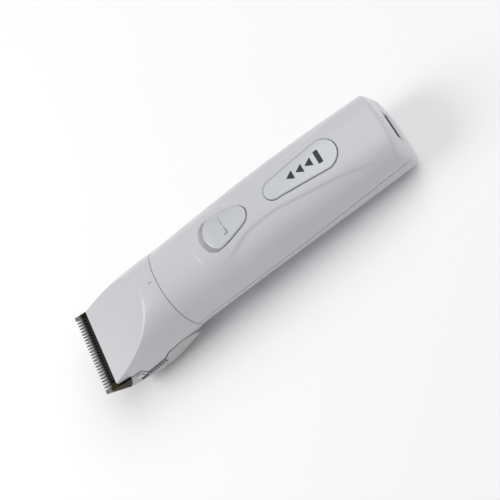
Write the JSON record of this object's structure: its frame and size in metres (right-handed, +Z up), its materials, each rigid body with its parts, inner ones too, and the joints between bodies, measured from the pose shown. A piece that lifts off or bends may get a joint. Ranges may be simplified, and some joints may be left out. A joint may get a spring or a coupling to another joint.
{
  "type": "cordless hair clipper",
  "caption": "Cordless hair clipper with a white handle, sloping head, toothed blade, slide switch, indicator lens and a swing-down blade cover.",
  "frame": {"origin": "under the middle of the clipper, on the plane it rests on", "axes": "+X from the rear end to the blade tips, +Y to the clipper's left, +Z up through the switch"},
  "size_m": [0.18, 0.045, 0.04],
  "materials": {
    "white_shell": "gloss",
    "silver_trim": "satin silver",
    "printed_mark": "matt ink",
    "black_plastic": "satin",
    "steel": "bright",
    "brass_part": "bright",
    "nickel": "bright",
    "cell_wrap": "shrink wrap",
    "board": "solder mask",
    "lamp": "clear",
    "grey_cover": "translucent gloss",
    "grey_slider": "satin",
    "blade_steel": "ground",
    "black_ceramic": "fine matt"
  },
  "bodies": {
    "handle": {"upper_shell": "white_shell", "lower_shell": "white_shell", "shell_screws": "steel", "indicator_lens": "silver_trim", "level_marks": "printed_mark", "front_head": "white_shell", "index_mark": "printed_mark", "hinge_pin": "steel", "motor_can": "steel", "motor_end_cap": "black_plastic", "motor_bracket": "black_plastic", "head_screws": "steel", "motor_cradle": "black_plastic", "battery_cell": "cell_wrap", "battery_tabs": "nickel", "circuit_board": "board", "status_lamps": "lamp", "slide_switch": "black_plastic", "charge_socket": "black_plastic", "charge_pins": "brass_part"},
    "switch": {"switch_button": "silver_trim", "switch_knob": "black_plastic"},
    "rotor": {"motor_shaft": "steel", "eccentric_cam": "brass_part"},
    "blade_unit": {"blade_base": "grey_cover", "blade_catches": "white_shell", "blade_carrier": "black_plastic", "fixed_blade": "blade_steel", "blade_screws": "steel"},
    "slider": {"length_slider": "grey_slider"},
    "carriage": {"cutter_carriage": "black_plastic", "tension_springs": "steel"},
    "cutter": {"moving_blade": "black_ceramic", "drive_fork": "black_plastic"}
  },
  "joints": [
    {"name": "power_switch", "type": "slide", "parent": "handle", "child": "switch", "axis": [0.9982, 0, 0.0599], "range_m": [0, 0.0022]},
    {"name": "motor_spin", "type": "hinge", "parent": "handle", "child": "rotor", "pos_m": [0.05, 0, 0.02], "axis": [1, 0, 0], "range_deg": [-90, 90]},
    {"name": "blade_release", "type": "hinge", "parent": "handle", "child": "blade_unit", "pos_m": [0.04, 0, 0.006], "axis": [0, 1, 0], "range_deg": [0, 30]},
    {"name": "length_adjust", "type": "slide", "parent": "blade_unit", "child": "slider", "axis": [1, 0, 0], "range_m": [0, 0.004]},
    {"name": "cutter_shift", "type": "slide", "parent": "blade_unit", "child": "carriage", "axis": [0.9778, 0, 0.2096], "range_m": [-0.0016, 0]},
    {"name": "cutter_stroke", "type": "slide", "parent": "carriage", "child": "cutter", "axis": [0, 1, 0], "range_m": [-0.0012, 0.0012]}
  ],
  "couplings": [
    {"joint": "cutter_shift", "follows": "length_adjust", "ratio": -0.4},
    {"joint": "motor_spin", "follows": "cutter_stroke", "rad_per_m": -1308.9}
  ]
}
